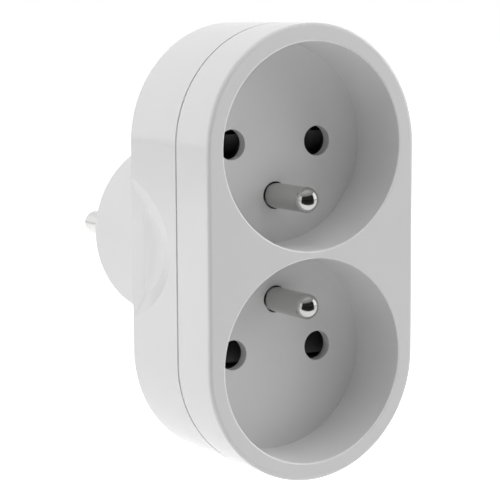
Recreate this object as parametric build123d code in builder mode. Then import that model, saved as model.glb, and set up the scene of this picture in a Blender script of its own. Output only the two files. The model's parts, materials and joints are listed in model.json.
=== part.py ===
from build123d import *
from math import hypot, radians, tan
import os

os.makedirs("parts", exist_ok=True)

# Two-socket plug-in adapter, 2 poles and earth, in millimetres.
# +Z is up along the body, +Y runs from the sockets to the plug pins.
# The origin is the centre of the plug body's end face.
# A depth is always counted from the front face, towards the pins.

# Plug and socket system
pin_radius = 2.4
pin_spacing = 19.0
plug_pin_length = 19.0
earth_offset = 10.0
hole_radius = 2.9
earth_hole_radius = 2.8

# Outside of the body
socket_pitch = 40.0
body_width = 45.3
front_depth = 11.3
side_depth = 29.0
back_inset = 6.0
front_edge_radius = 0.8
crease_radius = 0.3
groove_width = 0.5
groove_depth = 0.6

# Socket wells
well_radius = 19.3
well_depth = 13.5
well_draft = 0.18
well_wall = 1.4
well_rim_radius = 0.35
floor_thickness = 2.0
earth_pin_recess = 0.8

# Plug body
plug_radius = 18.5
plug_reach = 17.2
plug_wall = 2.0
plug_end_wall = 2.0
plug_edge_radius = 0.6

# Moulded walls
front_wall = 2.2
front_plate = 2.0
side_wall = 1.8
back_wall = 2.0
lip_length = 2.0
lip_wall = 1.2
rib_thickness = 1.2

# Finger scoops in the sides of the rear shell
scoop_nose_depth = 14.1
scoop_long = 27.0
scoop_half_height = 15.0
scoop_slope = 0.2
scoop_floor_tilt = 10.0
scoop_blend_radius = 5.0
scoop_pad = 1.35
scoop_pad_height = 25.0

# Clearances
running_gap = 0.2
rail_gap = 0.3
assembly_gap = 0.15
passage_gap = 0.1
press_gap = 0.05
seat_gap = 0.3

# Shutters, their springs and retainers
shutter_thickness = 4.0
shutter_width = 26.4
shutter_height = 6.6
shutter_travel = 6.0
shutter_web = 0.6
shutter_corner = 0.6
ramp_side_room = 0.5
ramp_top = 1.6
ramp_land = 0.2
ramp_relief = 2.6
ramp_notch_low = 2.2
ramp_notch_width = 0.3
ramp_notch_depth = 0.4
spring_radius = 1.35
spring_wire = 0.4
spring_turns = 7
spring_slot_width = 3.6
spring_seat = 2.1
spring_stroke_room = 1.3
spring_peg_radius = 0.8
spring_peg_length = 1.6
retainer_thickness = 1.0
retainer_margin = 1.9
post_width = 4.4
post_height = 1.6
rail_width = 1.6
stop_width = 2.6
stop_height = 1.4

# Contacts and busbars
bar_thickness = 0.8
bar_width = 4.8
bar_pad_width = 6.4
bar_pad_length = 10.0
bar_corner = 1.0
earth_bar_width = 7.0
earth_bar_end = 4.0
tip_room = 0.4
contact_sheet = 0.6
contact_height = 6.0
contact_pinch = 2.3
contact_mouth = 3.3
contact_mouth_gap = 0.9
contact_shoulder = 3.1
contact_pinch_share = 0.25
contact_shoulder_share = 0.6
contact_bend_radius = 0.9

# Pins
pin_tip_radius = 1.9
pin_collar_radius = 2.6
pin_collar_recess = 0.3
pin_groove = 0.2
pin_groove_radius = 2.1
pin_flange_radius = 3.6
pin_flange = 1.2
shank_radius = 2.0
rivet_radius = 1.6
rivet_head_radius = 2.6
rivet_head = 0.6
sleeve_radius = 3.3
sleeve_slot = 0.6
sleeve_slot_length = 14.0
sleeve_bore_depth = 20.0
sleeve_tail_depth = 3.6
guide_wall = 1.2
guide_length = 9.0

# Contact carrier
carrier_plate = 1.4
carrier_wall = 1.0
carrier_width = 32.0
carrier_height = 57.0
carrier_corner = 5.0
channel_width = 8.8
channel_height = 52.0
channel_corner = 0.5
passage_radius = 2.75

# Case screws
screw_x = 11.5
screw_z = 33.0
screw_radius = 1.3
screw_tip_room = 1.0
screw_head_radius = 2.7
screw_head = 1.8
screw_cross_width = 0.7
screw_cross_length = 3.4
screw_cross_depth = 1.0
screw_seat_web = 2.5
boss_radius = 2.8
boss_depth = 25.5
rear_boss_radius = 4.0

# Places worked out from the sizes above
body_radius = body_width / 2
pin_x = pin_spacing / 2
socket_z = socket_pitch / 2
earth_z = socket_z - earth_offset
floor_back = well_depth + floor_thickness
shutter_front = floor_back + running_gap
shutter_back = shutter_front + shutter_thickness
retainer_front = shutter_back + running_gap
retainer_back = retainer_front + retainer_thickness
plate_back = retainer_back + carrier_plate
bar_front = well_depth + plug_pin_length + tip_room
bar_back = bar_front + bar_thickness
cavity_back = bar_back + seat_gap
back_depth = cavity_back + back_wall
total_depth = back_depth + plug_reach
end_wall_front = total_depth - plug_end_wall
well_outer_radius = well_radius - well_draft + well_wall
cavity_width = body_width - 2 * side_wall
floor_radius = well_radius - well_draft
screw_hole_end = floor_back + floor_thickness / 2
screw_seat = boss_depth + screw_seat_web
screw_length = screw_seat - screw_hole_end - screw_tip_room

pin_columns = {"neutral": -pin_x, "live": pin_x}
socket_rows = {"upper": 1, "lower": -1}
hole_points = [(x, side * socket_z) for x in pin_columns.values() for side in socket_rows.values()]
earth_points = [(0, side * earth_z) for side in socket_rows.values()]
screw_points = [(x, z) for x in (-screw_x, screw_x) for z in (-screw_z, screw_z)]


def station(depth):
    # The plane that faces the front at a depth; local x is X and local y is Z
    return Plane.XZ.offset(total_depth - depth)


def at_depth(depth):
    # The Y coordinate of a depth
    return depth - total_depth


def save(piece, name):
    piece.part.label = name
    export_step(piece.part, f"parts/{name}.step")


# Front cover: rim, two drafted wells, their floors and what is moulded behind them
with BuildPart() as front_cover:
    with BuildSketch(station(front_depth)):
        SlotCenterToCenter(socket_pitch, body_width, rotation=90)
    extrude(amount=front_depth)
    front_face = front_cover.faces().sort_by(Axis.Y)[0]
    fillet(front_face.outer_wire().edges(), front_edge_radius)
    with BuildSketch(station(front_depth)):
        SlotCenterToCenter(socket_pitch, body_width - 2 * front_wall, rotation=90)
    extrude(amount=front_depth - front_plate, mode=Mode.SUBTRACT)
    # locating lip, which enters the rear shell
    with BuildSketch(station(front_depth + lip_length)):
        SlotCenterToCenter(socket_pitch, cavity_width - 2 * assembly_gap, rotation=90)
        lip_inside = cavity_width - 2 * assembly_gap - 2 * lip_wall
        SlotCenterToCenter(socket_pitch, lip_inside, rotation=90, mode=Mode.SUBTRACT)
    extrude(amount=2 * lip_length)
    # stiffening ribs between the wells
    rib_reach = body_radius - front_wall / 2
    with BuildSketch(station(front_depth)):
        Rectangle(2 * rib_reach, rib_thickness)
    extrude(amount=front_depth - front_plate / 2)
    # outside of the wells
    with BuildSketch(station(floor_back)):
        with Locations(*[(0, side * socket_z) for side in socket_rows.values()]):
            Circle(well_outer_radius)
    extrude(amount=floor_back - front_plate / 2)
    # drafted inside of the wells
    for side in socket_rows.values():
        with BuildSketch(station(0)):
            with Locations((0, side * socket_z)):
                Circle(well_radius)
        with BuildSketch(station(well_depth)):
            with Locations((0, side * socket_z)):
                Circle(floor_radius)
        loft(mode=Mode.SUBTRACT)
    rim_face = front_cover.faces().sort_by(Axis.Y)[0]
    fillet([edge for wire in rim_face.inner_wires() for edge in wire.edges()], well_rim_radius)
    # shutter rails and stops behind each floor
    rail_x = shutter_width / 2 + rail_gap + rail_width / 2
    shutter_low = socket_z - shutter_height / 2
    rail_low = shutter_low - rail_gap - stop_height
    rail_high = shutter_low + shutter_height + shutter_travel
    stop_x = shutter_width / 2 + rail_gap - stop_width / 2
    for side in socket_rows.values():
        with BuildSketch(station(retainer_front)):
            with Locations(*[(x, side * (rail_low + rail_high) / 2) for x in (-rail_x, rail_x)]):
                Rectangle(rail_width, rail_high - rail_low)
            with Locations(*[(x, side * (rail_low + stop_height / 2)) for x in (-stop_x, stop_x)]):
                Rectangle(stop_width, stop_height)
        extrude(amount=retainer_front - floor_back)
    # screw bosses
    with BuildSketch(station(boss_depth)):
        with Locations(*screw_points):
            Circle(boss_radius)
    extrude(amount=boss_depth - floor_back)
    with BuildSketch(station(boss_depth)):
        with Locations(*screw_points):
            Circle(screw_radius + press_gap)
    extrude(amount=boss_depth - screw_hole_end, mode=Mode.SUBTRACT)
    # holes through the floors
    with BuildSketch(station(floor_back)):
        with Locations(*hole_points):
            Circle(hole_radius)
        with Locations(*earth_points):
            Circle(pin_collar_radius + press_gap)
    extrude(amount=floor_thickness, mode=Mode.SUBTRACT)
save(front_cover, "front_cover")

# The space inside the rear shell, with the bosses, tubes and thick places left out of it
slope_run = back_inset / (back_depth - side_depth)
wall_inset = side_wall * hypot(1, slope_run) - back_wall * slope_run
inner_width_at_back = body_width - 2 * back_inset - 2 * wall_inset
knee_depth = cavity_back - (cavity_width - inner_width_at_back) / 2 / slope_run
plug_bore = plug_radius - plug_wall
flange_room = pin_flange_radius + assembly_gap
sleeve_room = sleeve_radius + assembly_gap
with BuildPart() as cavity:
    with BuildSketch(station(knee_depth)):
        SlotCenterToCenter(socket_pitch, cavity_width, rotation=90)
    extrude(amount=knee_depth - front_depth)
    with BuildSketch(station(knee_depth)):
        SlotCenterToCenter(socket_pitch, cavity_width, rotation=90)
    with BuildSketch(station(cavity_back)):
        SlotCenterToCenter(socket_pitch, inner_width_at_back, rotation=90)
    loft()
    with BuildSketch(station(end_wall_front)):
        Circle(plug_bore)
    extrude(amount=end_wall_front - knee_depth)
    # bosses round the screws
    with BuildSketch(station(cavity_back)):
        with Locations(*screw_points):
            Circle(rear_boss_radius)
    extrude(amount=cavity_back - boss_depth, mode=Mode.SUBTRACT)
    # thicker walls behind the scoops
    pad_front = floor_back + seat_gap
    for side in (-1, 1):
        with BuildSketch(station(side_depth)):
            with Locations((side * cavity_width / 2, 0)):
                Rectangle(2 * scoop_pad, scoop_pad_height)
        extrude(amount=side_depth - pad_front, mode=Mode.SUBTRACT)
    # guide tubes round the plug pins and the earth sleeve
    with BuildSketch(station(end_wall_front)):
        with Locations(*[(x, 0) for x in pin_columns.values()]):
            Circle(flange_room + guide_wall)
            Circle(flange_room, mode=Mode.SUBTRACT)
        with Locations((0, earth_z)):
            Circle(sleeve_room + guide_wall)
            Circle(sleeve_room, mode=Mode.SUBTRACT)
    extrude(amount=guide_length, mode=Mode.SUBTRACT)

# One finger scoop: a shallow elliptical bowl whose floor climbs back to the crease
scoop_margin = 0.2
scoop_deep = 2.0
scoop_centre = at_depth(scoop_nose_depth + scoop_long)
tilt = tan(radians(scoop_floor_tilt))
scoop_floor = Plane(origin=(-body_radius, at_depth(side_depth), 0), z_dir=(-1, -tilt, 0))
with BuildPart() as scoop:
    for level in (-scoop_margin, scoop_deep):
        with BuildSketch(Plane.YZ.offset(level - body_radius)):
            with Locations((scoop_centre, 0)):
                shrink = level / scoop_slope
                Ellipse(scoop_long - shrink, scoop_half_height - shrink)
    loft()
    split(bisect_by=scoop_floor, keep=Keep.TOP)
    bowl_floor = scoop.faces().filter_by(GeomType.PLANE).sort_by(Axis.X)[-1]
    fillet(bowl_floor.edges().filter_by(GeomType.LINE, reverse=True), scoop_blend_radius)

# Rear shell: side walls, sloping back and the round plug body in one moulding
with BuildPart() as rear_shell:
    with BuildSketch(station(side_depth)):
        SlotCenterToCenter(socket_pitch, body_width, rotation=90)
    extrude(amount=side_depth - front_depth)
    with BuildSketch(station(side_depth)):
        SlotCenterToCenter(socket_pitch, body_width, rotation=90)
    with BuildSketch(station(back_depth)):
        SlotCenterToCenter(socket_pitch, body_width - 2 * back_inset, rotation=90)
    loft()
    crease_y = at_depth(side_depth)
    crease = rear_shell.edges().filter_by_position(Axis.Y, crease_y, crease_y)
    fillet(crease, crease_radius)
    with BuildSketch(station(total_depth)):
        Circle(plug_radius)
    extrude(amount=total_depth - side_depth)
    fillet(rear_shell.edges().group_by(Axis.Y)[-1], plug_edge_radius)
    add(scoop.part, mode=Mode.SUBTRACT)
    add(mirror(scoop.part, about=Plane.YZ, mode=Mode.PRIVATE), mode=Mode.SUBTRACT)
    add(cavity.part, mode=Mode.SUBTRACT)
    # rebate that makes the shadow line round the joint
    with BuildSketch(station(front_depth + groove_width)):
        SlotCenterToCenter(socket_pitch, body_width + 2 * groove_depth, rotation=90)
        SlotCenterToCenter(socket_pitch, body_width - 2 * groove_depth, rotation=90, mode=Mode.SUBTRACT)
    extrude(amount=groove_width, mode=Mode.SUBTRACT)
    # screw wells
    with BuildSketch(station(back_depth)):
        with Locations(*screw_points):
            Circle(screw_head_radius + running_gap)
    extrude(amount=back_depth - screw_seat, mode=Mode.SUBTRACT)
    with BuildSketch(station(screw_seat)):
        with Locations(*screw_points):
            Circle(screw_radius + seat_gap)
    extrude(amount=screw_seat_web, mode=Mode.SUBTRACT)
    # holes in the plug's end wall
    with BuildSketch(station(total_depth)):
        with Locations(*[(x, 0) for x in pin_columns.values()]):
            Circle(pin_collar_radius + press_gap)
        with Locations((0, earth_z)):
            Circle(earth_hole_radius)
    extrude(amount=plug_end_wall, mode=Mode.SUBTRACT)
save(rear_shell, "rear_shell")

# Shutters: a black bar across both holes, with a notched ramp at each and a slot for its spring
for row, side in socket_rows.items():
    shutter_z = side * socket_z
    ramp_width = 2 * (hole_radius + ramp_side_room)
    with BuildPart() as shutter:
        with BuildSketch(station(shutter_back)):
            with Locations((0, shutter_z)):
                RectangleRounded(shutter_width, shutter_height, shutter_corner)
            slot_height = shutter_height - spring_seat
            with Locations((0, shutter_z + side * (shutter_height - slot_height) / 2)):
                Rectangle(spring_slot_width, slot_height, mode=Mode.SUBTRACT)
        extrude(amount=shutter_thickness)
        ramp_foot_depth = shutter_back - shutter_web
        ramp_slope = (ramp_foot_depth - shutter_front) / (ramp_top + shutter_height / 2)
        notch_depth = shutter_front + ramp_slope * (ramp_top + ramp_notch_low)
        relief_low = ramp_top + ramp_land
        relief_height = shutter_height / 2 - shutter_web - relief_low
        relief_z = relief_low + relief_height / 2
        for x in pin_columns.values():
            with BuildSketch(Plane.YZ.offset(x - ramp_width / 2)):
                with BuildLine():
                    low = shutter_z - side * (shutter_height / 2 + 1)
                    high = shutter_z + side * ramp_top
                    Polyline(
                        (at_depth(shutter_front - 1), low),
                        (at_depth(ramp_foot_depth), low),
                        (at_depth(ramp_foot_depth), low + side),
                        (at_depth(shutter_front), high),
                        (at_depth(shutter_front - 1), high),
                        close=True,
                    )
                make_face()
                with Locations((at_depth(notch_depth), shutter_z - side * ramp_notch_low)):
                    Rectangle(2 * ramp_notch_depth, ramp_notch_width)
                with Locations((at_depth(shutter_front), shutter_z + side * relief_z)):
                    Rectangle(2 * ramp_relief, relief_height)
            extrude(amount=ramp_width, mode=Mode.SUBTRACT)
    save(shutter, f"{row}_shutter")

# Compression springs: from the slot in the shutter to the retainer's post
spring_low = socket_z - shutter_height / 2 + spring_seat
spring_high = socket_z + shutter_height / 2 + shutter_travel + spring_stroke_room
spring_span = spring_high - spring_low - 2 * press_gap
for row, side in socket_rows.items():
    spring_y = at_depth((shutter_front + shutter_back) / 2)
    coil_height = spring_span - spring_wire
    coil_low = spring_low + press_gap + spring_wire / 2
    start_z = coil_low if side > 0 else -coil_low - coil_height
    with BuildPart() as spring:
        with BuildLine(Plane((0, spring_y, start_z))):
            coil = Helix(pitch=coil_height / spring_turns, height=coil_height, radius=spring_radius)
        with BuildSketch(Plane(origin=coil @ 0, z_dir=coil % 0)):
            Circle(spring_wire / 2)
        sweep(path=coil, is_frenet=True)
    save(spring, f"{row}_shutter_spring")

# Retainers: plates over the shutters, each with a post and a peg for the spring
for row, side in socket_rows.items():
    plate_low = rail_low
    plate_high = rail_high
    plate_width = shutter_width + 2 * retainer_margin
    post_z = side * (spring_high + post_height / 2)
    with BuildPart() as retainer:
        with BuildSketch(station(retainer_back)):
            with Locations((0, side * (plate_low + plate_high) / 2)):
                RectangleRounded(plate_width, plate_high - plate_low, shutter_corner)
            tab_low = plate_high - shutter_corner
            tab_high = spring_high + post_height
            with Locations((0, side * (tab_low + tab_high) / 2)):
                Rectangle(2 * post_width, tab_high - tab_low)
            with Locations(*[(x, side * socket_z) for x in pin_columns.values()]):
                Circle(passage_radius, mode=Mode.SUBTRACT)
        extrude(amount=retainer_thickness)
        with BuildSketch(station(retainer_front)):
            with Locations((0, post_z)):
                Rectangle(post_width, post_height)
        extrude(amount=shutter_thickness)
        peg_end = side * (spring_high - spring_peg_length)
        with BuildSketch(Plane.XY.offset(peg_end if side > 0 else side * spring_high)):
            with Locations((0, spring_y)):
                Circle(spring_peg_radius)
        extrude(amount=spring_peg_length)
    save(retainer, f"{row}_shutter_retainer")

# Contact carrier: a plate with passages, and two channels that keep the poles apart
with BuildPart() as contact_carrier:
    with BuildSketch(station(plate_back)):
        RectangleRounded(carrier_width, carrier_height, carrier_corner)
        with Locations(*hole_points):
            Circle(passage_radius, mode=Mode.SUBTRACT)
        with Locations(*earth_points):
            Circle(shank_radius + passage_gap, mode=Mode.SUBTRACT)
    extrude(amount=carrier_plate)
    with BuildSketch(station(cavity_back)):
        outer_width = channel_width + 2 * carrier_wall
        outer_height = channel_height + 2 * carrier_wall
        with Locations(*[(x, 0) for x in pin_columns.values()]):
            RectangleRounded(outer_width, outer_height, channel_corner + carrier_wall)
            RectangleRounded(channel_width, channel_height, channel_corner, mode=Mode.SUBTRACT)
    extrude(amount=cavity_back - plate_back)
save(contact_carrier, "contact_carrier")

# Busbars of the two poles: flat strips with wider pads at the contacts and the pin
for pole, x in pin_columns.items():
    with BuildPart() as busbar:
        with BuildSketch(station(bar_back)):
            with Locations((x, 0)):
                Rectangle(bar_width, socket_pitch)
                Circle(bar_pad_width / 2)
                Circle(rivet_radius, mode=Mode.SUBTRACT)
            with Locations((x, -socket_z), (x, socket_z)):
                RectangleRounded(bar_pad_width, bar_pad_length, bar_corner)
        extrude(amount=bar_thickness)
    save(busbar, f"{pole}_busbar")

# Contacts: U-shaped clips whose two leaves pinch the pin and flare at the mouth
contact_front = plate_back + contact_mouth_gap
contact_depth = bar_front - contact_sheet / 2
leaf_length = contact_depth - contact_front
for row, side in socket_rows.items():
    for pole, x in pin_columns.items():
        half_sheet = contact_sheet / 2
        leaf = [
            (contact_mouth + half_sheet, contact_front),
            (contact_pinch + half_sheet, contact_front + contact_pinch_share * leaf_length),
            (contact_shoulder + half_sheet, contact_front + contact_shoulder_share * leaf_length),
            (contact_shoulder + half_sheet, contact_depth),
        ]
        corners = leaf + [(-reach, depth) for reach, depth in reversed(leaf)]
        with BuildPart() as contact:
            with BuildSketch(Plane.XY.offset(side * socket_z)):
                with BuildLine():
                    FilletPolyline(*[(x + reach, at_depth(depth)) for reach, depth in corners],
                                   radius=contact_bend_radius)
                trace(line_width=contact_sheet)
            extrude(amount=contact_height / 2, both=True)
            with BuildSketch(station(bar_front)):
                with Locations((x, side * socket_z)):
                    Circle(pin_radius + running_gap)
            extrude(amount=2 * contact_sheet, mode=Mode.SUBTRACT)
        save(contact, f"{row}_{pole}_contact")

# Plug pins: turned, with a groove and a collar at the end wall, a flange behind it and a riveted tail
for pole, x in pin_columns.items():
    pin_profile = [
        (0, total_depth + plug_pin_length),
        (pin_radius, total_depth + plug_pin_length),
        (pin_radius, total_depth + pin_groove),
        (pin_groove_radius, total_depth + pin_groove),
        (pin_groove_radius, total_depth - pin_collar_recess),
        (pin_collar_radius, total_depth - pin_collar_recess),
        (pin_collar_radius, end_wall_front),
        (pin_flange_radius, end_wall_front),
        (pin_flange_radius, end_wall_front - pin_flange),
        (shank_radius, end_wall_front - pin_flange),
        (shank_radius, bar_back),
        (rivet_radius, bar_back),
        (rivet_radius, bar_front),
        (rivet_head_radius, bar_front),
        (rivet_head_radius, bar_front - rivet_head),
        (0, bar_front - rivet_head),
    ]
    with BuildPart() as plug_pin:
        with BuildSketch(Plane.XY):
            with BuildLine():
                Polyline(*[(x + radius, at_depth(depth)) for radius, depth in pin_profile], close=True)
            make_face()
        revolve(axis=Axis((x, 0, 0), (0, 1, 0)))
        fillet(plug_pin.edges().filter_by(GeomType.CIRCLE).group_by(Axis.Y)[-1], pin_tip_radius)
    save(plug_pin, f"{pole}_plug_pin")

# Earth pins of the sockets: turned alike, with a groove and a collar at the well's floor
earth_bar_back = plate_back + bar_thickness
for row, side in socket_rows.items():
    # the upper tail enters the plug's earth sleeve, the lower one is headed over
    if side > 0:
        tail = [(rivet_radius, earth_bar_back + sleeve_tail_depth - seat_gap)]
    else:
        tail = [
            (rivet_radius, earth_bar_back),
            (rivet_head_radius, earth_bar_back),
            (rivet_head_radius, earth_bar_back + rivet_head),
        ]
    earth_profile = [
        (0, earth_pin_recess),
        (pin_radius, earth_pin_recess),
        (pin_radius, well_depth - pin_groove),
        (pin_groove_radius, well_depth - pin_groove),
        (pin_groove_radius, well_depth + pin_collar_recess),
        (pin_collar_radius, well_depth + pin_collar_recess),
        (pin_collar_radius, floor_back),
        (pin_flange_radius, floor_back),
        (pin_flange_radius, floor_back + pin_flange),
        (shank_radius, floor_back + pin_flange),
        (shank_radius, plate_back),
        (rivet_radius, plate_back),
    ] + tail + [(0, tail[-1][1])]
    with BuildPart() as earth_pin:
        with BuildSketch(Plane.XY.offset(side * earth_z)):
            with BuildLine():
                Polyline(*[(radius, at_depth(depth)) for radius, depth in earth_profile], close=True)
            make_face()
        revolve(axis=Axis((0, 0, side * earth_z), (0, 1, 0)))
        fillet(earth_pin.edges().filter_by(GeomType.CIRCLE).group_by(Axis.Y)[0], pin_tip_radius)
    save(earth_pin, f"{row}_earth_pin")

# Earth busbar: joins the two earth pins and carries the plug's earth sleeve
with BuildPart() as earth_busbar:
    with BuildSketch(station(earth_bar_back)):
        RectangleRounded(earth_bar_width, 2 * (earth_z + earth_bar_end), bar_corner)
        with Locations(*earth_points):
            Circle(rivet_radius, mode=Mode.SUBTRACT)
    extrude(amount=bar_thickness)
save(earth_busbar, "earth_busbar")

# Plug earth contact: a slit sleeve behind the hole in the plug's end wall
sleeve_end = end_wall_front - seat_gap
sleeve_bore = pin_radius + press_gap
with BuildPart() as plug_earth_contact:
    with BuildSketch(station(sleeve_end)):
        with Locations((0, earth_z)):
            Circle(sleeve_radius)
    extrude(amount=sleeve_end - earth_bar_back)
    with BuildSketch(station(earth_bar_back + sleeve_tail_depth)):
        with Locations((0, earth_z)):
            Circle(rivet_radius + press_gap)
    extrude(amount=sleeve_tail_depth, mode=Mode.SUBTRACT)
    with BuildSketch(station(sleeve_end)):
        with Locations((0, earth_z)):
            Circle(sleeve_bore)
    extrude(amount=sleeve_bore_depth, mode=Mode.SUBTRACT)
    with BuildSketch(station(sleeve_end)):
        with Locations((0, earth_z)):
            Rectangle(3 * sleeve_radius, sleeve_slot)
            Rectangle(sleeve_slot, 3 * sleeve_radius)
    extrude(amount=sleeve_slot_length, mode=Mode.SUBTRACT)
save(plug_earth_contact, "plug_earth_contact")

# Case screws: four alike, from the back into the front cover's bosses
with BuildPart() as case_screws:
    with BuildSketch(station(screw_seat)):
        with Locations(*screw_points):
            Circle(screw_radius)
    extrude(amount=screw_length)
    chamfer(case_screws.edges().group_by(Axis.Y)[0], screw_radius / 2)
    with BuildSketch(station(screw_seat + screw_head)):
        with Locations(*screw_points):
            Circle(screw_head_radius)
    extrude(amount=screw_head)
    fillet(case_screws.edges().group_by(Axis.Y)[-1], screw_head / 2)
    with BuildSketch(station(screw_seat + screw_head)):
        with Locations(*screw_points):
            Rectangle(screw_cross_length, screw_cross_width)
            Rectangle(screw_cross_width, screw_cross_length)
    extrude(amount=screw_cross_depth, mode=Mode.SUBTRACT)
save(case_screws, "case_screws")
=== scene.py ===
import json
from math import cos, radians, sin

import bpy
import numpy as np
from mathutils import Matrix, Vector


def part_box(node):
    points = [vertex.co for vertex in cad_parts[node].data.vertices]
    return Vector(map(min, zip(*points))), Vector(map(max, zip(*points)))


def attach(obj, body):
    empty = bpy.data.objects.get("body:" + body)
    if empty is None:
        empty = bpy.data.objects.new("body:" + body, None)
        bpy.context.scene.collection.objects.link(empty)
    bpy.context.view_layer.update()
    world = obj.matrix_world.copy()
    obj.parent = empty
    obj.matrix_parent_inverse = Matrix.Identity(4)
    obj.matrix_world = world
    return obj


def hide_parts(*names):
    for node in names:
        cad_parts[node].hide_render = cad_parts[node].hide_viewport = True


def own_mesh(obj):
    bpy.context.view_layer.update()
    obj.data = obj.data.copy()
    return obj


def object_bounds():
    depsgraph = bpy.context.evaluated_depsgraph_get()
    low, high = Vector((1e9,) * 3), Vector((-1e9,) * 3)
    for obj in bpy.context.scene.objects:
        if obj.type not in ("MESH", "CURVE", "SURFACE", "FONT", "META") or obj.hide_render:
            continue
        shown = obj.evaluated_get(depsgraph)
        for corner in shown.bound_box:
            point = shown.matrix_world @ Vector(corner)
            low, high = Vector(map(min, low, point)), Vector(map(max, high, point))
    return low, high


# Two-socket plug-in adapter: finishes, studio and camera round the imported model.
# Metres; +Z up along the body, the sockets face -Y, the plug pins point to +Y.

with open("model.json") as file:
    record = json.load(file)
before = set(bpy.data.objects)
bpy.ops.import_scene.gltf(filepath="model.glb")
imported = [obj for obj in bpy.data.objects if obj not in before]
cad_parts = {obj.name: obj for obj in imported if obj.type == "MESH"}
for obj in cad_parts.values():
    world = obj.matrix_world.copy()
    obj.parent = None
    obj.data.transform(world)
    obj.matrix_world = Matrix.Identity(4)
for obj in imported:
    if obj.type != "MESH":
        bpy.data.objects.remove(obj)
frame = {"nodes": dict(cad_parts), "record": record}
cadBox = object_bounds()
print("frame loaded:", len(frame["nodes"]), "nodes")


# small helpers for node trees

def addNode(tree, kind, **values):
    # a node with its plain settings and its unlinked input values
    node = tree.nodes.new(kind)
    for name, value in values.items():
        if hasattr(node, name):
            setattr(node, name, value)
        else:
            node.inputs[name].default_value = value
    return node


def plug(tree, source, target):
    tree.links.new(source, target)


def maths(tree, operation, first, second=None, clamp=False):
    # one Math node; its inputs are sockets or plain numbers
    node = addNode(tree, "ShaderNodeMath", operation=operation, use_clamp=clamp)
    for slot, value in enumerate((first, second)):
        if value is None:
            continue
        if isinstance(value, (int, float)):
            node.inputs[slot].default_value = value
        else:
            plug(tree, value, node.inputs[slot])
    return node.outputs[0]


def ramp(tree, value, low, high, toLow=0.0, toHigh=1.0):
    # smooth step of a value from low..high to toLow..toHigh
    node = addNode(tree, "ShaderNodeMapRange", interpolation_type="SMOOTHSTEP")
    plug(tree, value, node.inputs["Value"])
    for name, number in (("From Min", low), ("From Max", high), ("To Min", toLow), ("To Max", toHigh)):
        node.inputs[name].default_value = number
    return node.outputs["Result"]


def blend(tree, share, first, second):
    # mixes two values, each a socket or a plain number
    node = addNode(tree, "ShaderNodeMix", data_type="FLOAT")
    plug(tree, share, node.inputs[0])
    for slot, value in ((2, first), (3, second)):
        if isinstance(value, (int, float)):
            node.inputs[slot].default_value = value
        else:
            plug(tree, value, node.inputs[slot])
    return node.outputs[0]


def hypot(tree, first, second):
    squares = [maths(tree, "MULTIPLY", value, value) for value in (first, second)]
    return maths(tree, "SQRT", maths(tree, "ADD", *squares))


def along(tree, vector, way):
    # the part of a vector along a fixed direction
    node = addNode(tree, "ShaderNodeVectorMath", operation="DOT_PRODUCT")
    plug(tree, vector, node.inputs[0])
    node.inputs[1].default_value = way
    return node.outputs["Value"]


def newGroup(name, inputs, outputs):
    # an empty node group with named sockets: (name, socket type, default value)
    group = bpy.data.node_groups.new(name, "ShaderNodeTree")
    for label, kind, value in inputs:
        socket = group.interface.new_socket(name=label, in_out="INPUT", socket_type=kind)
        if value is not None:
            socket.default_value = value
    for label, kind in outputs:
        group.interface.new_socket(name=label, in_out="OUTPUT", socket_type=kind)
    return group, group.nodes.new("NodeGroupInput"), group.nodes.new("NodeGroupOutput")


# shared effects

finishOutputs = [
    ("Colour", "NodeSocketColor"),
    ("Roughness", "NodeSocketFloat"),
    ("Height", "NodeSocketFloat"),
]


def cloudFinish(group, given, made, cloud):
    # tone and gloss that drift with a cloudy texture
    swing = maths(group, "SUBTRACT", cloud, 0.5)
    tone = maths(group, "ADD", maths(group, "MULTIPLY", swing, given.outputs["Tone Change"]), 1.0)
    shade = addNode(group, "ShaderNodeVectorMath", operation="SCALE")
    plug(group, given.outputs["Colour"], shade.inputs[0])
    plug(group, tone, shade.inputs["Scale"])
    gloss = maths(group, "MULTIPLY", swing, given.outputs["Roughness Change"])
    plug(group, shade.outputs[0], made.inputs["Colour"])
    plug(group, maths(group, "ADD", given.outputs["Roughness"], gloss, True), made.inputs["Roughness"])


def makeMouldedGroup():
    # moulded plastic: cloudy tone, cloudy gloss, and a height of slow waves plus fine grain
    group, given, made = newGroup(
        "mouldedPlastic",
        [
            ("Vector", "NodeSocketVector", None),
            ("Colour", "NodeSocketColor", (0.8, 0.8, 0.8, 1)),
            ("Tone Change", "NodeSocketFloat", 0.02),
            ("Roughness", "NodeSocketFloat", 0.35),
            ("Roughness Change", "NodeSocketFloat", 0.05),
            ("Wave Size", "NodeSocketFloat", 60.0),
            ("Grain Size", "NodeSocketFloat", 4000.0),
            ("Grain Share", "NodeSocketFloat", 0.3),
        ],
        finishOutputs,
    )
    waves = addNode(group, "ShaderNodeTexNoise", Detail=2.0, Roughness=0.5)
    grain = addNode(group, "ShaderNodeTexNoise", Detail=1.0, Roughness=0.6)
    for texture, size in ((waves, "Wave Size"), (grain, "Grain Size")):
        plug(group, given.outputs["Vector"], texture.inputs["Vector"])
        plug(group, given.outputs[size], texture.inputs["Scale"])
    cloudFinish(group, given, made, waves.outputs["Fac"])
    height = maths(group, "MULTIPLY", grain.outputs["Fac"], given.outputs["Grain Share"])
    plug(group, maths(group, "ADD", waves.outputs["Fac"], height), made.inputs["Height"])
    return group


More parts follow.
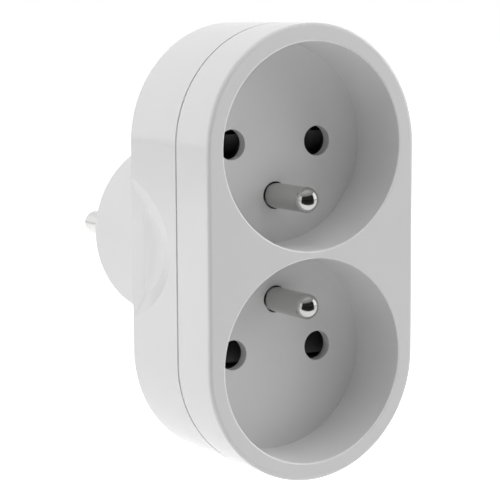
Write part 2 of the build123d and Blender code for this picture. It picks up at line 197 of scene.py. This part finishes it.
def makeTurnedGroup():
    # turned or drawn metal: fine lines across one axis, with cloudy gloss
    group, given, made = newGroup(
        "turnedMetal",
        [
            ("Vector", "NodeSocketVector", None),
            ("Colour", "NodeSocketColor", (0.7, 0.7, 0.7, 1)),
            ("Tone Change", "NodeSocketFloat", 0.06),
            ("Roughness", "NodeSocketFloat", 0.2),
            ("Roughness Change", "NodeSocketFloat", 0.08),
            ("Line Size", "NodeSocketFloat", 6000.0),
            ("Cloud Size", "NodeSocketFloat", 500.0),
        ],
        finishOutputs,
    )
    parts = addNode(group, "ShaderNodeSeparateXYZ")
    plug(group, given.outputs["Vector"], parts.inputs[0])
    lines = addNode(group, "ShaderNodeTexNoise", noise_dimensions="1D", Detail=2.0, Roughness=0.7)
    plug(group, parts.outputs["Y"], lines.inputs["W"])
    plug(group, given.outputs["Line Size"], lines.inputs["Scale"])
    clouds = addNode(group, "ShaderNodeTexNoise", Detail=2.0, Roughness=0.5)
    plug(group, given.outputs["Vector"], clouds.inputs["Vector"])
    plug(group, given.outputs["Cloud Size"], clouds.inputs["Scale"])
    cloudFinish(group, given, made, clouds.outputs["Fac"])
    plug(group, lines.outputs["Fac"], made.inputs["Height"])
    return group


mouldedGroup = makeMouldedGroup()
turnedGroup = makeTurnedGroup()
print("node groups made")


# materials

def startMaterial(name, group, values, metallic=0.0):
    # a material whose colour, gloss and bump come from one shared group
    material = bpy.data.materials.new(name)
    material.use_nodes = True
    tree = material.node_tree
    shader = tree.nodes["Principled BSDF"]
    shader.inputs["Metallic"].default_value = metallic
    place = addNode(tree, "ShaderNodeTexCoord")
    effect = addNode(tree, "ShaderNodeGroup", node_tree=group)
    plug(tree, place.outputs["Object"], effect.inputs["Vector"])
    for label, value in values.items():
        if label in effect.inputs:
            effect.inputs[label].default_value = value
    plug(tree, effect.outputs["Colour"], shader.inputs["Base Color"])
    plug(tree, effect.outputs["Roughness"], shader.inputs["Roughness"])
    bump = addNode(tree, "ShaderNodeBump",
                   Strength=values["bumpStrength"], Distance=values["bumpDepth"])
    plug(tree, effect.outputs["Height"], bump.inputs["Height"])
    plug(tree, bump.outputs["Normal"], shader.inputs["Normal"])
    return material, tree, place, effect


housingLook = {
    "Colour": (0.75, 0.75, 0.75, 1),
    "Tone Change": 0.015,
    "Roughness": 0.42,
    "Roughness Change": 0.06,
    "Wave Size": 70.0,
    "Grain Size": 5000.0,
    "Grain Share": 0.25,
    "bumpStrength": 0.25,
    "bumpDepth": 0.00003,
    "sideRoughness": 0.10,
    "endCentre": 0.020,  # height of the round ends' centres
    "sideStart": 0.0217,  # distance from the middle line where the polished side begins
    "sideEnd": 0.0223,
    "wellRadius": 0.0193,  # at the front face
    "rimBand": (0.00002, 0.00007, 0.00019, 0.00026),  # a part of the rounded rim, measured outwards, where a highlight is painted
    "rimDepth": (0.0006, 0.0012),  # behind the front face, where the painted highlight fades out
    "rimColour": (0.95, 0.95, 0.95, 1),  # painted highlight: the rim band's paler colour
    "rimRoughness": 0.12,
}


def makeHousing():
    # satin front and wells, with a painted highlight along the wells' rims; the sides, ends and back
    # are polished
    look = housingLook
    material, tree, place, effect = startMaterial("whiteHousing", mouldedGroup, look)
    parts = addNode(tree, "ShaderNodeSeparateXYZ")
    plug(tree, place.outputs["Object"], parts.inputs[0])
    centred = maths(tree, "SUBTRACT", maths(tree, "ABSOLUTE", parts.outputs["Z"]), look["endCentre"])
    # distance from the body's middle line: hypot(x, max(|z| - end centre, 0))
    reach = hypot(tree, maths(tree, "MAXIMUM", centred, 0.0), parts.outputs["X"])
    roughness = ramp(tree, reach, look["sideStart"], look["sideEnd"],
                     look["Roughness"], look["sideRoughness"])
    # the wells' rims: a thin band at a set distance from each well's axis, hypot(x, |z| - end centre),
    # smoother and with a painted highlight in its paler colour
    beyond = maths(tree, "SUBTRACT", hypot(tree, centred, parts.outputs["X"]), look["wellRadius"])
    inner, full, fade, outer = look["rimBand"]
    highlightBand = maths(tree, "MULTIPLY", ramp(tree, beyond, inner, full),
                 ramp(tree, beyond, fade, outer, 1.0, 0.0))
    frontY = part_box("front_cover")[0].y
    near, far = look["rimDepth"]
    highlightBand = maths(tree, "MULTIPLY", highlightBand,
                 ramp(tree, parts.outputs["Y"], frontY + near, frontY + far, 1.0, 0.0))
    plug(tree, blend(tree, highlightBand, roughness, look["rimRoughness"]), effect.inputs["Roughness"])
    # painted highlight: the rim band takes the paler colour
    colour = addNode(tree, "ShaderNodeMix", data_type="RGBA")
    plug(tree, highlightBand, colour.inputs[0])
    colour.inputs[6].default_value = look["Colour"]
    colour.inputs[7].default_value = look["rimColour"]
    plug(tree, colour.outputs[2], effect.inputs["Colour"])
    return material


shutterLook = {
    "Colour": (0.045, 0.045, 0.046, 1),
    "Tone Change": 0.2,
    "Roughness": 0.38,
    "Roughness Change": 0.1,
    "Wave Size": 200.0,
    "Grain Size": 6000.0,
    "Grain Share": 0.4,
    "bumpStrength": 0.3,
    "bumpDepth": 0.00003,
}

carrierLook = {
    "Colour": (0.52, 0.52, 0.50, 1),
    "Tone Change": 0.05,
    "Roughness": 0.5,
    "Roughness Change": 0.1,
    "Wave Size": 120.0,
    "Grain Size": 5000.0,
    "Grain Share": 0.4,
    "bumpStrength": 0.3,
    "bumpDepth": 0.00004,
}

pinLook = {
    "Colour": (0.53, 0.528, 0.522, 1),
    "Tone Change": 0.05,
    "Roughness": 0.13,
    "Roughness Change": 0.04,
    "Line Size": 9000.0,
    "Cloud Size": 600.0,
    "bumpStrength": 0.12,
    "bumpDepth": 0.00001,
}

brassLook = {
    "Colour": (0.72, 0.53, 0.24, 1),
    "Tone Change": 0.12,
    "Roughness": 0.3,
    "Roughness Change": 0.15,
    "Line Size": 4000.0,
    "Cloud Size": 300.0,
    "bumpStrength": 0.15,
    "bumpDepth": 0.00001,
}

springLook = {
    "Colour": (0.58, 0.57, 0.56, 1),
    "Tone Change": 0.1,
    "Roughness": 0.28,
    "Roughness Change": 0.1,
    "Line Size": 3000.0,
    "Cloud Size": 400.0,
    "bumpStrength": 0.1,
    "bumpDepth": 0.00001,
}

screwLook = {
    "Colour": (0.62, 0.63, 0.65, 1),
    "Tone Change": 0.1,
    "Roughness": 0.3,
    "Roughness Change": 0.12,
    "Line Size": 5000.0,
    "Cloud Size": 400.0,
    "bumpStrength": 0.15,
    "bumpDepth": 0.00001,
}

# plug pins: a rougher copy of the plated finish, with painted light in its paler colour
plugPinLook = {
    "Colour": (0.82, 0.817, 0.81, 1),
    "Tone Change": 0.03,
    "Roughness": 0.27,
    "Roughness Change": 0.04,
    "Line Size": 2500.0,
    "Cloud Size": 300.0,
    "bumpStrength": 0.02,
    "bumpDepth": 0.00001,
}

finishes = {
    "housing": makeHousing(),
    "shutter": startMaterial("blackShutter", mouldedGroup, shutterLook)[0],
    "carrier": startMaterial("greyCarrier", mouldedGroup, carrierLook)[0],
    "plated_pin": startMaterial("platedPin", turnedGroup, pinLook, 1.0)[0],
    "contact_brass": startMaterial("sheetBrass", turnedGroup, brassLook, 1.0)[0],
    "spring_steel": startMaterial("springSteel", turnedGroup, springLook, 1.0)[0],
    "screw_steel": startMaterial("zincScrew", turnedGroup, screwLook, 1.0)[0],
}

# painted light: the plug pins take this paler copy in place of their own plated finish
satinLitPin = startMaterial("satinLitPin", turnedGroup, plugPinLook, 1.0)[0]
ownFinish = {"live_plug_pin": satinLitPin, "neutral_plug_pin": satinLitPin}

for subpart in frame["record"]["subparts"]:
    node = frame["nodes"][subpart["node"]]
    for slot in node.material_slots:
        slot.material = ownFinish.get(subpart["node"], finishes[subpart["material_slot"]])


# pieces of their own

def smoothPiece(name, points, faces, creaseAngle):
    # smooth all over, apart from edges sharper than the crease angle
    mesh = bpy.data.meshes.new(name)
    mesh.from_pydata(points.tolist(), [], faces)
    mesh.polygons.foreach_set("use_smooth", np.ones(len(mesh.polygons), dtype=bool))
    mesh.set_sharp_from_angle(angle=radians(creaseAngle))
    piece = bpy.data.objects.new(name, mesh)
    bpy.context.scene.collection.objects.link(piece)
    return piece


# earth pins: turned in one piece, with a smooth crowned tip

earthPin = {
    "radius": 0.0024,
    "tip": 0.0019,  # length of the crowned tip
    "tipSteps": 28,
    "standing": 0.0127,  # how far the pin stands out of the well's floor
    "groove": (0.0023, 0.00012),  # radius, and how far it starts before the floor
    "collar": (0.0026, 0.00004),  # radius, and how far it starts behind the floor
    "floor": 0.0020,
    "flange": (0.0036, 0.0012),  # radius and thickness
    "shank": (0.0020, 0.0088),  # radius, and its end behind the floor
    "rivet": 0.0016,
    "rivetHead": (0.0026, 0.0006),  # radius and thickness
    "turns": 96,
    "creaseAngle": 35,
}


def turnedPiece(name, profile, centre, turns, creaseAngle):
    # ring k, step j: (x, z) = centre + radius[k] * (sin, cos)(2 pi j / turns), y = place[k]
    # the first and last entries of the profile are single points on the axis
    radius, place = np.array(profile).T
    angle = 2 * np.pi * np.arange(turns) / turns
    ringX = centre[0] + np.outer(radius[1:-1], np.sin(angle))
    ringZ = centre[1] + np.outer(radius[1:-1], np.cos(angle))
    ringY = np.repeat(place[1:-1, None], turns, axis=1)
    points = np.stack([ringX, ringY, ringZ], axis=2).reshape(-1, 3)
    ends = np.array([(centre[0], place[0], centre[1]), (centre[0], place[-1], centre[1])])
    index = np.arange(len(points)).reshape(-1, turns)
    onward = np.roll(index, -1, axis=1)
    sides = np.stack([index[:-1], onward[:-1], onward[1:], index[1:]], axis=2).reshape(-1, 4)
    first, last = len(points), len(points) + 1
    front = np.stack([onward[0], index[0], np.full(turns, first)], axis=1)
    back = np.stack([index[-1], onward[-1], np.full(turns, last)], axis=1)
    faces = sides.tolist() + front.tolist() + back.tolist()
    return smoothPiece(name, np.concatenate([points, ends]), faces, creaseAngle)


def makeEarthPin(row):
    # tip: radius * sin(t) at length * (1 - cos(t)) behind the apex, t from 0 to a right angle
    look = earthPin
    node = row + "_earth_pin"
    low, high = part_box(node)
    floorY = low.y + look["standing"]
    t = np.linspace(0, np.pi / 2, look["tipSteps"])
    profile = list(zip(look["radius"] * np.sin(t), low.y + look["tip"] * (1 - np.cos(t))))
    groove, collar, flange, shank = (look[part] for part in ("groove", "collar", "flange", "shank"))
    plateY = floorY + look["floor"]
    profile += [(look["radius"], floorY - groove[1]), (groove[0], floorY - groove[1])]
    profile += [(groove[0], floorY + collar[1]), (collar[0], floorY + collar[1]), (collar[0], plateY)]
    profile += [(flange[0], plateY), (flange[0], plateY + flange[1]), (shank[0], plateY + flange[1])]
    profile += [(shank[0], floorY + shank[1]), (look["rivet"], floorY + shank[1])]
    if row == "lower":  # its tail is headed over; the upper one enters the plug's earth sleeve
        head = look["rivetHead"]
        profile += [(look["rivet"], high.y - head[1]), (head[0], high.y - head[1]), (head[0], high.y)]
    else:
        profile += [(look["rivet"], high.y)]
    profile += [(0.0, high.y)]
    centre = (0.0, (low.z + high.z) / 2)
    piece = turnedPiece(row + "EarthPin", profile, centre, look["turns"], look["creaseAngle"])
    piece.data.materials.append(finishes["plated_pin"])
    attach(piece, "housing")
    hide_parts(node)


for rowName in ("upper", "lower"):
    makeEarthPin(rowName)
print("earth pins made")


# shutter springs: coils of wire in place of the model's springs

spring = {
    "wire": 0.0002,  # radius of the wire
    "turns": 7,
    "stepsPerTurn": 40,
    "stepsRound": 14,
    "creaseAngle": 50,
}


def makeSpring(row):
    # wire round a helix: the centre line is (r cos u, r sin u, climb u), and a point of the wire's
    # surface is the centre line + wire radius * (cos v * inward + sin v * side)
    look = spring
    node = row + "_shutter_spring"
    low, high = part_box(node)
    axisX, axisY = (low.x + high.x) / 2, (low.y + high.y) / 2
    radius, wire = (high.x - low.x) / 2 - look["wire"], look["wire"]
    steps = look["turns"] * look["stepsPerTurn"] + 1
    u = np.linspace(0, 2 * np.pi * look["turns"], steps)
    climb = (high.z - low.z - 2 * wire) / u[-1]
    cosU, sinU = np.cos(u), np.sin(u)
    centre = np.stack([axisX + radius * cosU, axisY + radius * sinU, low.z + wire + climb * u], axis=1)
    along = np.stack([-radius * sinU, radius * cosU, np.full(steps, climb)], axis=1)
    along /= np.linalg.norm(along, axis=1, keepdims=True)
    inward = np.stack([-cosU, -sinU, np.zeros(steps)], axis=1)
    side = np.cross(along, inward)
    v = (2 * np.pi * np.arange(look["stepsRound"]) / look["stepsRound"])[None, :, None]
    points = centre[:, None] + wire * (np.cos(v) * inward[:, None] + np.sin(v) * side[:, None])
    index = np.arange(steps * look["stepsRound"]).reshape(steps, -1)
    onward = np.roll(index, -1, axis=1)
    tube = np.stack([index[:-1], onward[:-1], onward[1:], index[1:]], axis=2).reshape(-1, 4)
    faces = tube.tolist() + [index[0][::-1].tolist(), index[-1].tolist()]
    piece = smoothPiece(row + "ShutterSpring", points.reshape(-1, 3), faces, look["creaseAngle"])
    piece.data.materials.append(finishes["spring_steel"])
    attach(piece, "housing")
    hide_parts(node)
    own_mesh(piece)


for rowName in ("upper", "lower"):
    makeSpring(rowName)
print("springs made")


# studio

studio = {
    "floorDrop": 0.07,  # how far the floor lies below the body
    "floorReach": 6.0,
    "floorColour": (0.92, 0.92, 0.92, 1),
    "glowNear": 0.15,  # added to what the camera sees of the floor, never to its light
    "glowFar": 1.0,
    "glowStart": 0.12,  # distance where the glow begins to rise, as the lamps' light falls
    "glowEnd": 0.40,
    "mirroredNear": 0.4,  # the same glow as glossy surfaces see it
    "mirroredFar": 0.22,
    "darkStart": 0.20,  # distance out from the sockets where glossy surfaces see the floor unlit
    "darkFull": 0.23,
    "darkColour": (0.03, 0.03, 0.03, 1),
    "ambient": 0.075,
}

# the room as glossy surfaces see it
room = {
    "white": 0.95,  # the walls
    "whiteRight": 1.45,  # the wall to the right of the sockets
    "rightAzimuth": 90.0,
    "rightTurn": (0.6, 0.85),  # cosines of the angles from its middle between which it begins
    "ceilingEdge": 32.0,  # elevation where the walls end
    "edgeSoftness": 1.5,
    "ceilingLow": 0.36,  # level of the ceiling at its edge and overhead
    "ceilingHigh": 0.64,
    "ceilingBack": 0.5,  # its level behind the body
    "ceilingTurn": (-0.3, 0.1),  # cosines of the angles from the unlit side between which it changes
    "unlitAzimuth": -2.0,  # the side in front of the sockets, grey higher up
    "unlitInside": 0.63,  # cosines of the angles from the unlit side's middle
    "unlitOutside": 0.58,
    "unlitEdge": 29.0,  # elevation where the unlit side turns grey
    "unlitLevel": 0.03,
    "greyLevel": 0.28,
    "leastFlat": 0.001,  # keeps the division by a direction's level part safe overhead
}

lamps = {
    "left": {"azimuth": -115, "elevation": 12, "distance": 1.1, "size": (1.0, 0.6), "power": 6.05},
    "right": {"azimuth": 60, "elevation": 12, "distance": 1.1, "size": (1.0, 0.6), "power": 4.0},
    "nearRight": {"azimuth": 40, "elevation": 45, "distance": 0.6, "size": (0.5, 0.5), "power": 0.52},
    "top": {"azimuth": 0, "elevation": 88, "distance": 1.1, "size": (2.0, 2.0), "power": 15.2},
}


def direction(azimuth, elevation):
    # unit vector; azimuth 0 looks out from the sockets, positive towards +X
    a, e = radians(azimuth), radians(elevation)
    return Vector((sin(a) * cos(e), -cos(a) * cos(e), sin(e)))


def makeLamp(name, values):
    data = bpy.data.lights.new(name, "AREA")
    data.shape = "RECTANGLE"
    data.size, data.size_y = values["size"]
    data.energy = values["power"]
    lamp = bpy.data.objects.new(name, data)
    centre = (Vector(cadBox[0]) + Vector(cadBox[1])) / 2
    out = direction(values["azimuth"], values["elevation"])
    lamp.visible_glossy = False  # glossy surfaces see the room in its place
    lamp.location = centre + out * values["distance"]
    lamp.rotation_euler = out.to_track_quat("Z", "Y").to_euler()
    bpy.context.scene.collection.objects.link(lamp)


def makeFloor():
    # pale floor; a glow that only the camera and glossy surfaces see keeps it white outside the shadow
    reach = studio["floorReach"]
    level = cadBox[0][2] - studio["floorDrop"]
    mesh = bpy.data.meshes.new("studioFloor")
    corners = [(x * reach, y * reach, level) for x, y in ((-1, -1), (1, -1), (1, 1), (-1, 1))]
    mesh.from_pydata(corners, [], [(0, 1, 2, 3)])
    floor = bpy.data.objects.new("studioFloor", mesh)
    bpy.context.scene.collection.objects.link(floor)
    material = bpy.data.materials.new("floorPale")
    material.use_nodes = True
    tree = material.node_tree
    tree.nodes.clear()
    out = addNode(tree, "ShaderNodeOutputMaterial")
    diffuse = addNode(tree, "ShaderNodeBsdfDiffuse", Color=studio["floorColour"])
    glow = addNode(tree, "ShaderNodeEmission")
    black = addNode(tree, "ShaderNodeBsdfDiffuse", Color=studio["darkColour"])
    place = addNode(tree, "ShaderNodeTexCoord")
    path = addNode(tree, "ShaderNodeLightPath")
    distance = addNode(tree, "ShaderNodeVectorMath", operation="LENGTH")
    plug(tree, place.outputs["Object"], distance.inputs[0])
    rise = ramp(tree, distance.outputs["Value"], studio["glowStart"], studio["glowEnd"],
                studio["glowNear"], studio["glowFar"])
    shown = maths(tree, "MULTIPLY", path.outputs["Is Camera Ray"], rise)
    rising = ramp(tree, distance.outputs["Value"], studio["glowStart"], studio["glowEnd"],
                  studio["mirroredNear"], studio["mirroredFar"])
    mirrored = maths(tree, "MULTIPLY", path.outputs["Is Glossy Ray"], rising)
    plug(tree, maths(tree, "ADD", shown, mirrored), glow.inputs["Strength"])
    pale = addNode(tree, "ShaderNodeAddShader")
    plug(tree, diffuse.outputs[0], pale.inputs[0])
    plug(tree, glow.outputs[0], pale.inputs[1])
    towards = along(tree, place.outputs["Object"], direction(room["unlitAzimuth"], 0))
    turn = maths(tree, "DIVIDE", towards, distance.outputs["Value"])
    unlit = maths(tree, "MULTIPLY", ramp(tree, towards, studio["darkStart"], studio["darkFull"]),
                  ramp(tree, turn, room["unlitOutside"], room["unlitInside"]))
    mix = addNode(tree, "ShaderNodeMixShader")
    plug(tree, maths(tree, "MULTIPLY", path.outputs["Is Glossy Ray"], unlit), mix.inputs[0])
    plug(tree, pale.outputs[0], mix.inputs[1])
    plug(tree, black.outputs[0], mix.inputs[2])
    plug(tree, mix.outputs[0], out.inputs["Surface"])
    mesh.materials.append(material)


def softEdge(elevation):
    # sines of the elevations just under and just over the given one
    return [sin(radians(elevation + side * room["edgeSoftness"])) for side in (-1, 1)]


def makeWorld():
    # white to the camera, one soft level to matt surfaces, and the room to glossy ones
    world = bpy.data.worlds.new("studio")
    bpy.context.scene.world = world
    world.use_nodes = True
    tree = world.node_tree
    tree.nodes.clear()
    out = addNode(tree, "ShaderNodeOutputWorld")
    seen = addNode(tree, "ShaderNodeBackground", Color=(1, 1, 1, 1))
    soft = addNode(tree, "ShaderNodeBackground", Color=(1, 1, 1, 1), Strength=studio["ambient"])
    place = addNode(tree, "ShaderNodeTexCoord")
    parts = addNode(tree, "ShaderNodeSeparateXYZ")
    plug(tree, place.outputs["Generated"], parts.inputs[0])
    height = parts.outputs["Z"]
    facing = along(tree, place.outputs["Generated"], direction(room["unlitAzimuth"], 0))
    rightward = along(tree, place.outputs["Generated"], direction(room["rightAzimuth"], 0))
    # the level part of each direction, and the cosine of its angle from the unlit side's middle
    square = maths(tree, "MULTIPLY", height, height)
    flat = maths(tree, "SQRT", maths(tree, "SUBTRACT", 1.0, square, True))
    turn = maths(tree, "DIVIDE", facing, maths(tree, "MAXIMUM", flat, room["leastFlat"]))
    front = ramp(tree, height, *softEdge(room["unlitEdge"]), room["unlitLevel"], room["greyLevel"])
    ceiling = ramp(tree, height, softEdge(room["ceilingEdge"])[1], 1.0,
                   room["ceilingLow"], room["ceilingHigh"])
    ceiling = blend(tree, ramp(tree, facing, *room["ceilingTurn"]), room["ceilingBack"], ceiling)
    lit = ramp(tree, rightward, *room["rightTurn"], room["white"], room["whiteRight"])
    walls = blend(tree, ramp(tree, turn, room["unlitOutside"], room["unlitInside"]), lit, front)
    level = blend(tree, ramp(tree, height, *softEdge(room["ceilingEdge"])), walls, ceiling)
    path = addNode(tree, "ShaderNodeLightPath")
    mirrored = maths(tree, "MAXIMUM",
                     path.outputs["Is Glossy Ray"], path.outputs["Is Transmission Ray"])
    white = path.outputs["Is Camera Ray"]
    shown = maths(tree, "MULTIPLY", level, mirrored)
    plug(tree, maths(tree, "MAXIMUM", shown, white), seen.inputs["Strength"])
    both = addNode(tree, "ShaderNodeMixShader")
    plug(tree, maths(tree, "MAXIMUM", mirrored, white), both.inputs[0])
    plug(tree, soft.outputs[0], both.inputs[1])
    plug(tree, seen.outputs[0], both.inputs[2])
    plug(tree, both.outputs[0], out.inputs["Surface"])


for lampName, lampValues in lamps.items():
    makeLamp(lampName, lampValues)
makeFloor()
makeWorld()
print("studio lit by", len(lamps), "lamps")


# camera: a pinhole fitted to the picture's edges

view = {
    "azimuth": -31.589,
    "elevation": 7.56,
    "roll": -0.333,
    "distance": 0.32897,
    "target": (-0.013981, -0.0532, 0.001992),
    "focalPixels": 1820.9,
    "imagePixels": 500,
    "sensor": 36.0,
    "nearest": 0.01,
}


def makeCamera():
    a, r = radians(view["azimuth"]), radians(view["roll"])
    back = direction(view["azimuth"], view["elevation"])
    level = Vector((cos(a), sin(a), 0))
    upright = back.cross(level)
    right = cos(r) * level + sin(r) * upright
    up = cos(r) * upright - sin(r) * level
    data = bpy.data.cameras.new("camera")
    data.sensor_width = view["sensor"]
    data.lens = view["focalPixels"] / view["imagePixels"] * view["sensor"]
    data.clip_start = view["nearest"]
    camera = bpy.data.objects.new("camera", data)
    place = Vector(view["target"]) + back * view["distance"]
    camera.matrix_world = Matrix.Translation(place) @ Matrix((right, up, back)).transposed().to_4x4()
    bpy.context.scene.collection.objects.link(camera)
    bpy.context.scene.camera = camera


makeCamera()
bpy.context.scene.view_settings.view_transform = "Standard"
print("camera set")

bpy.context.view_layer.update()
